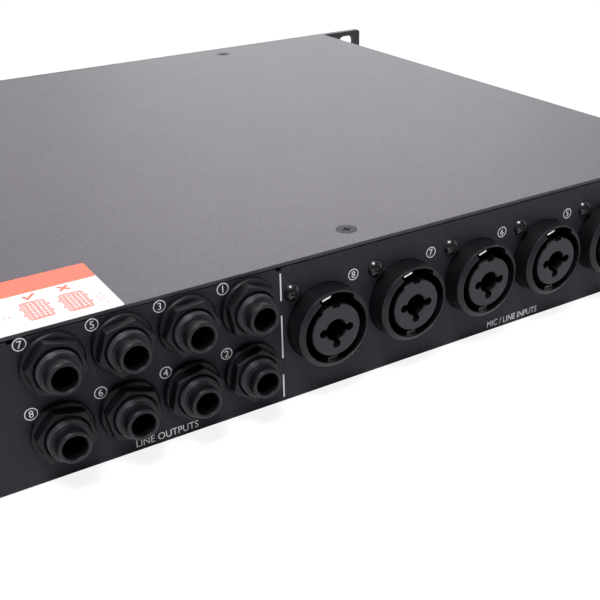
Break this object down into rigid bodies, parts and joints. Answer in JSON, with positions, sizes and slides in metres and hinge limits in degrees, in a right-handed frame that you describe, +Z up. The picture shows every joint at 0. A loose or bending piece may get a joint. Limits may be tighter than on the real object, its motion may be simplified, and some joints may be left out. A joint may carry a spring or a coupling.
{
  "type": "microphone preamp",
  "caption": "One-unit rack microphone preamp: flat black case, front gain knobs and buttons, rear row of combined XLR and jack inputs, two rows of jack outputs.",
  "frame": {"origin": "middle of the flat underside", "axes": "+Z up, -Y towards the front panel and its knobs, +Y towards the rear connectors, +X to the right seen from the front"},
  "size_m": [0.4826, 0.2789, 0.0436],
  "materials": {
    "case_black": "matte powder coat",
    "panel_black": "fine matte powder coat",
    "front_black": "brushed and anodised black",
    "socket_plastic": "moulded, fine grain",
    "insert_plastic": "moulded, satin",
    "contact_metal": "bright",
    "black_screw": "black oxide",
    "nut_plastic": "moulded, satin",
    "washer_black": "matte",
    "bright_nickel": "nickel plated",
    "knob_plastic": "soft satin",
    "button_plastic": "satin grey",
    "lamp_clear": "frosted light pipe",
    "rocker_plastic": "moulded, glossy",
    "board_green": "solder mask",
    "pot_metal": "stamped",
    "core_steel": "varnished laminations",
    "part_black": "moulded",
    "standoff_steel": "zinc plated",
    "signal_print": "screen-printed white ink, painted in the looks only",
    "sticker_paper": "coated paper label, looks only",
    "sticker_print": "coral print on the label, looks only"
  },
  "bodies": {
    "case": {"bottom_tray": "case_black", "top_cover": "case_black", "rear_panel": "panel_black", "sub_panel": "case_black", "front_panel": "front_black", "case_screws": "black_screw", "combo_inserts": "insert_plastic", "combo_contacts": "contact_metal", "connector_screws": "black_screw", "panel_washers": "washer_black", "panel_nuts": "nut_plastic", "optical_sockets": "socket_plastic", "word_clock_socket": "bright_nickel", "mains_inlet": "socket_plastic", "inlet_pins": "bright_nickel", "gain_potentiometers": "pot_metal", "button_switches": "part_black", "signal_lamps": "lamp_clear", "rocker_frame": "socket_plastic", "main_board": "board_green", "power_board": "board_green", "jack_board": "board_green", "board_standoffs": "standoff_steel", "transformer": "core_steel", "board_parts": "part_black", "combo_housing_1": "socket_plastic", "jack_socket_1": "socket_plastic", "combo_housing_2": "socket_plastic", "jack_socket_2": "socket_plastic", "combo_housing_3": "socket_plastic", "jack_socket_3": "socket_plastic", "combo_housing_4": "socket_plastic", "jack_socket_4": "socket_plastic", "combo_housing_5": "socket_plastic", "jack_socket_5": "socket_plastic", "combo_housing_6": "socket_plastic", "jack_socket_6": "socket_plastic", "combo_housing_7": "socket_plastic", "jack_socket_7": "socket_plastic", "combo_housing_8": "socket_plastic", "jack_socket_8": "socket_plastic"},
    "gain_knob_1": {"gain_knob_1": "knob_plastic"},
    "gain_knob_2": {"gain_knob_2": "knob_plastic"},
    "gain_knob_3": {"gain_knob_3": "knob_plastic"},
    "gain_knob_4": {"gain_knob_4": "knob_plastic"},
    "gain_knob_5": {"gain_knob_5": "knob_plastic"},
    "gain_knob_6": {"gain_knob_6": "knob_plastic"},
    "gain_knob_7": {"gain_knob_7": "knob_plastic"},
    "gain_knob_8": {"gain_knob_8": "knob_plastic"},
    "instrument_button_1": {"instrument_button_1": "button_plastic"},
    "instrument_button_2": {"instrument_button_2": "button_plastic"},
    "pad_button_1": {"pad_button_1": "button_plastic"},
    "pad_button_2": {"pad_button_2": "button_plastic"},
    "phantom_button_low": {"phantom_button_low": "button_plastic"},
    "phantom_button_high": {"phantom_button_high": "button_plastic"},
    "sample_rate_button": {"sample_rate_button": "button_plastic"},
    "clock_source_button": {"clock_source_button": "button_plastic"},
    "power_rocker": {"power_rocker": "rocker_plastic"},
    "optical_shutter_1": {"optical_shutter_1": "knob_plastic"},
    "optical_shutter_2": {"optical_shutter_2": "knob_plastic"}
  },
  "joints": [
    {"name": "gain_turn_1", "type": "hinge", "parent": "case", "child": "gain_knob_1", "pos_m": [-0.09, -0.128, 0.0185], "axis": [0, -1, 0], "range_deg": [-150, 150]},
    {"name": "gain_turn_2", "type": "hinge", "parent": "case", "child": "gain_knob_2", "pos_m": [-0.064, -0.128, 0.0185], "axis": [0, -1, 0], "range_deg": [-150, 150]},
    {"name": "gain_turn_3", "type": "hinge", "parent": "case", "child": "gain_knob_3", "pos_m": [-0.038, -0.128, 0.0185], "axis": [0, -1, 0], "range_deg": [-150, 150]},
    {"name": "gain_turn_4", "type": "hinge", "parent": "case", "child": "gain_knob_4", "pos_m": [-0.012, -0.128, 0.0185], "axis": [0, -1, 0], "range_deg": [-150, 150]},
    {"name": "gain_turn_5", "type": "hinge", "parent": "case", "child": "gain_knob_5", "pos_m": [0.014, -0.128, 0.0185], "axis": [0, -1, 0], "range_deg": [-150, 150]},
    {"name": "gain_turn_6", "type": "hinge", "parent": "case", "child": "gain_knob_6", "pos_m": [0.04, -0.128, 0.0185], "axis": [0, -1, 0], "range_deg": [-150, 150]},
    {"name": "gain_turn_7", "type": "hinge", "parent": "case", "child": "gain_knob_7", "pos_m": [0.066, -0.128, 0.0185], "axis": [0, -1, 0], "range_deg": [-150, 150]},
    {"name": "gain_turn_8", "type": "hinge", "parent": "case", "child": "gain_knob_8", "pos_m": [0.092, -0.128, 0.0185], "axis": [0, -1, 0], "range_deg": [-150, 150]},
    {"name": "instrument_press_1", "type": "slide", "parent": "case", "child": "instrument_button_1", "axis": [0, 1, 0], "range_m": [0, 0.0016], "stiffness_N_per_m": 400},
    {"name": "instrument_press_2", "type": "slide", "parent": "case", "child": "instrument_button_2", "axis": [0, 1, 0], "range_m": [0, 0.0016], "stiffness_N_per_m": 400},
    {"name": "pad_press_1", "type": "slide", "parent": "case", "child": "pad_button_1", "axis": [0, 1, 0], "range_m": [0, 0.0016], "stiffness_N_per_m": 400},
    {"name": "pad_press_2", "type": "slide", "parent": "case", "child": "pad_button_2", "axis": [0, 1, 0], "range_m": [0, 0.0016], "stiffness_N_per_m": 400},
    {"name": "phantom_press_low", "type": "slide", "parent": "case", "child": "phantom_button_low", "axis": [0, 1, 0], "range_m": [0, 0.0016], "stiffness_N_per_m": 400},
    {"name": "phantom_press_high", "type": "slide", "parent": "case", "child": "phantom_button_high", "axis": [0, 1, 0], "range_m": [0, 0.0016], "stiffness_N_per_m": 400},
    {"name": "sample_rate_press", "type": "slide", "parent": "case", "child": "sample_rate_button", "axis": [0, 1, 0], "range_m": [0, 0.0016], "stiffness_N_per_m": 400},
    {"name": "clock_source_press", "type": "slide", "parent": "case", "child": "clock_source_button", "axis": [0, 1, 0], "range_m": [0, 0.0016], "stiffness_N_per_m": 400},
    {"name": "power_rock", "type": "hinge", "parent": "case", "child": "power_rocker", "pos_m": [0.19, -0.123, 0.0218], "axis": [1, 0, 0], "range_deg": [-16, 0]},
    {"name": "optical_flap_1", "type": "hinge", "parent": "case", "child": "optical_shutter_1", "pos_m": [0.066, 0.125, 0.0253], "axis": [-1, 0, 0], "range_deg": [0, 80], "stiffness_Nm_per_rad": 0.0005, "springref_deg": -17.19},
    {"name": "optical_flap_2", "type": "hinge", "parent": "case", "child": "optical_shutter_2", "pos_m": [0.086, 0.125, 0.0253], "axis": [-1, 0, 0], "range_deg": [0, 80], "stiffness_Nm_per_rad": 0.0005, "springref_deg": -17.19}
  ]
}
